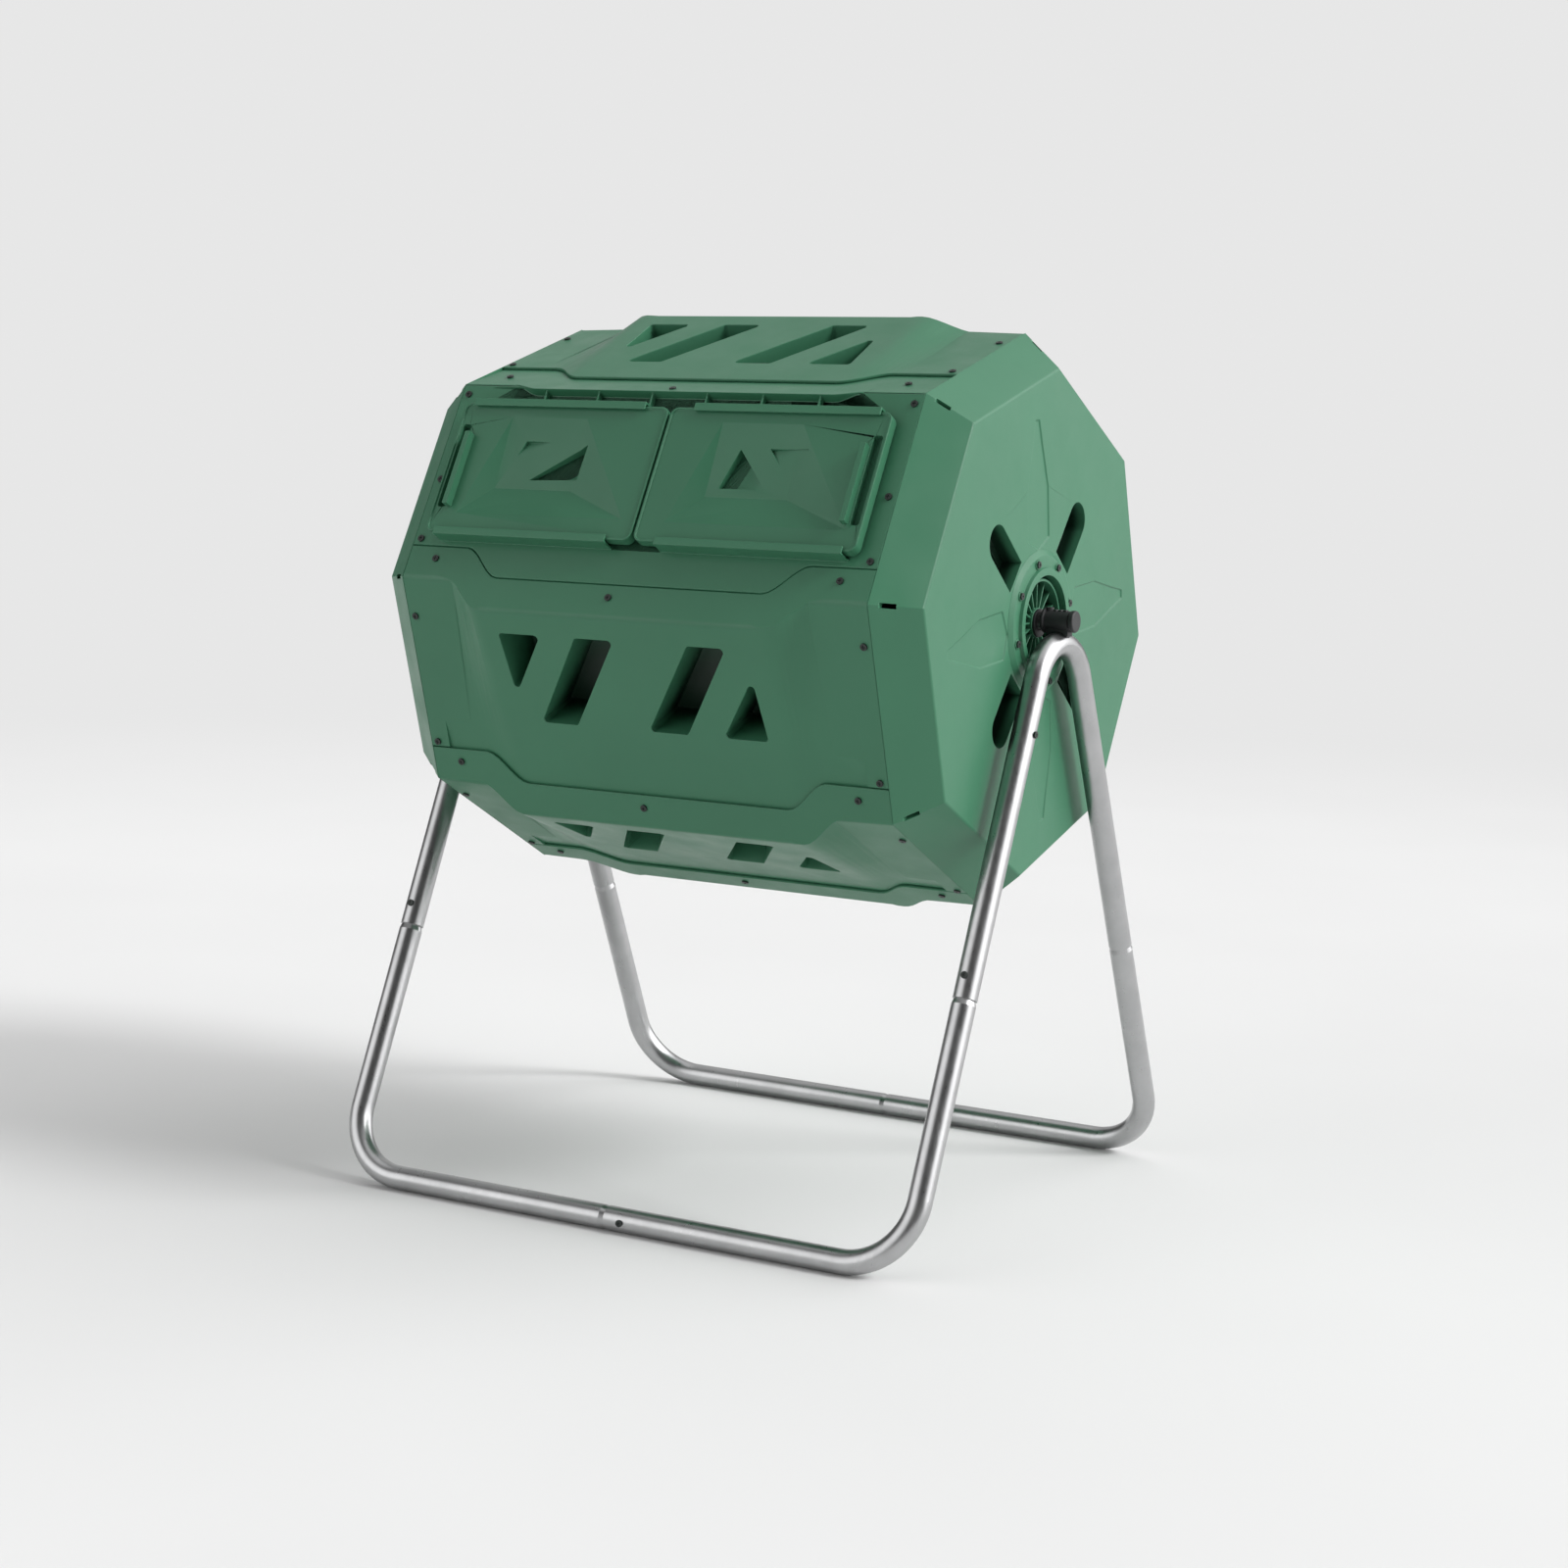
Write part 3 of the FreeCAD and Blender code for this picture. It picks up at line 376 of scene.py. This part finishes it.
def moulded(node, rule):
    """A piece that stands for a CAD node, its edges rounded as a mould leaves them."""
    name = node + ".moulded"
    piece = bpy.data.objects.new(name, clean_mesh(node, name, rule))
    bpy.context.collection.objects.link(piece)
    bevel = piece.modifiers.new("rounded_edges", "BEVEL")
    bevel.width = WIDEST
    bevel.segments = 2
    bevel.limit_method = "WEIGHT"
    bevel.use_clamp_overlap = False
    bevel.miter_outer = "MITER_ARC"
    weighted = piece.modifiers.new("even_shading", "WEIGHTED_NORMAL")
    weighted.keep_sharp = True
    weighted.weight = 100
    dress(piece, LOOKS[OWN_LOOKS.get(node.rsplit("_", 1)[0], SLOT_OF[node])])
    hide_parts(node)
    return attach(piece, BODY_OF[node])


def make_pieces():
    for node, material_slot in SLOT_OF.items():
        rule = next(rule for rule in RULES if node.startswith(rule.start))
        if rule.radius is None:
            dress(frame["nodes"][node], LOOKS[material_slot])
        else:
            moulded(node, rule)


# ---- stage ----------------------------------------------------------------------------------

# The studio's soft boxes: the direction of each, the cosines of the angles from it at which it
# starts and is at its full strength, and that strength.
SKY = (
    ((0.00, 0.10, 0.99), 0.72, 0.97, 0.8),
    ((0.78, 0.45, 0.36), 0.60, 0.93, 2.6),
    ((-0.45, 0.70, 0.45), 0.78, 0.96, 0.5),
    ((-0.62, -0.75, 0.18), 0.72, 0.97, 1.6),
)
SKY_BASE = 0.07             # the room between the soft boxes
KEY_FROM = (0.76, 0.12, 0.56)
KEY_STRENGTH = 1.6
KEY_SPREAD = 16.0           # degrees


def make_floor():
    bpy.ops.mesh.primitive_plane_add(size=FLOOR_SIZE)
    floor = bpy.context.object
    floor.name = "floor"
    dress(floor, pale_floor())


def make_sky():
    """A studio of soft boxes in a dim room; the camera sees an even pale backdrop."""
    world = bpy.data.worlds.new("studio")
    world.use_nodes = True
    tree = world.node_tree
    link = tree.links.new
    direction = tree.nodes.new("ShaderNodeTexCoord").outputs["Generated"]
    level = tree.nodes.new("ShaderNodeValue").outputs["Value"]
    level.default_value = SKY_BASE
    for towards, start, full, strength in SKY:
        dot = tree.nodes.new("ShaderNodeVectorMath")
        dot.operation = "DOT_PRODUCT"
        dot.inputs[1].default_value = Vector(towards).normalized()
        link(direction, dot.inputs[0])
        box = tree.nodes.new("ShaderNodeMapRange")
        box.interpolation_type = "SMOOTHSTEP"
        box.inputs["From Min"].default_value = start
        box.inputs["From Max"].default_value = full
        box.inputs["To Max"].default_value = strength
        link(dot.outputs["Value"], box.inputs["Value"])
        add = tree.nodes.new("ShaderNodeMath")
        add.operation = "ADD"
        link(box.outputs["Result"], add.inputs[0])
        link(level, add.inputs[1])
        level = add.outputs["Value"]
    lighting = tree.nodes["Background"]
    lighting.inputs["Color"].default_value = (1, 1, 1, 1)
    link(level, lighting.inputs["Strength"])
    seen = tree.nodes.new("ShaderNodeBackground")
    seen.inputs["Color"].default_value = BACKDROP
    mix = tree.nodes.new("ShaderNodeMixShader")
    link(tree.nodes.new("ShaderNodeLightPath").outputs["Is Camera Ray"], mix.inputs["Fac"])
    link(lighting.outputs["Background"], mix.inputs[1])
    link(seen.outputs["Background"], mix.inputs[2])
    link(mix.outputs["Shader"], tree.nodes["World Output"].inputs["Surface"])
    bpy.context.scene.world = world


def make_key():
    """A soft sun from the right."""
    light = bpy.data.lights.new("key", "SUN")
    light.energy = KEY_STRENGTH
    light.angle = math.radians(KEY_SPREAD)
    lamp = bpy.data.objects.new("key", light)
    lamp.rotation_euler = Vector(KEY_FROM).to_track_quat("Z", "Y").to_euler()
    bpy.context.collection.objects.link(lamp)


def make_camera():
    yaw, pitch, roll = (math.radians(a) for a in (CAMERA_YAW, CAMERA_PITCH, CAMERA_ROLL))
    back = Vector((math.sin(yaw) * math.cos(pitch), -math.cos(yaw) * math.cos(pitch), math.sin(pitch)))
    right = (-back).cross(Vector((0, 0, 1))).normalized()
    up = right.cross(-back)
    turn = Matrix((right, up, back)).transposed() @ Matrix.Rotation(roll, 3, "Z")
    camera = bpy.data.objects.new("camera", bpy.data.cameras.new("camera"))
    camera.data.lens = CAMERA_LENS
    camera.data.sensor_width = CAMERA_SENSOR
    camera.matrix_world = Matrix.Translation(CAMERA_PLACE) @ turn.to_4x4()
    bpy.context.collection.objects.link(camera)
    bpy.context.scene.camera = camera


make_pieces()
make_floor()
make_sky()
make_key()
bpy.context.scene.view_settings.view_transform = "Standard"
make_camera()

bpy.context.view_layer.update()
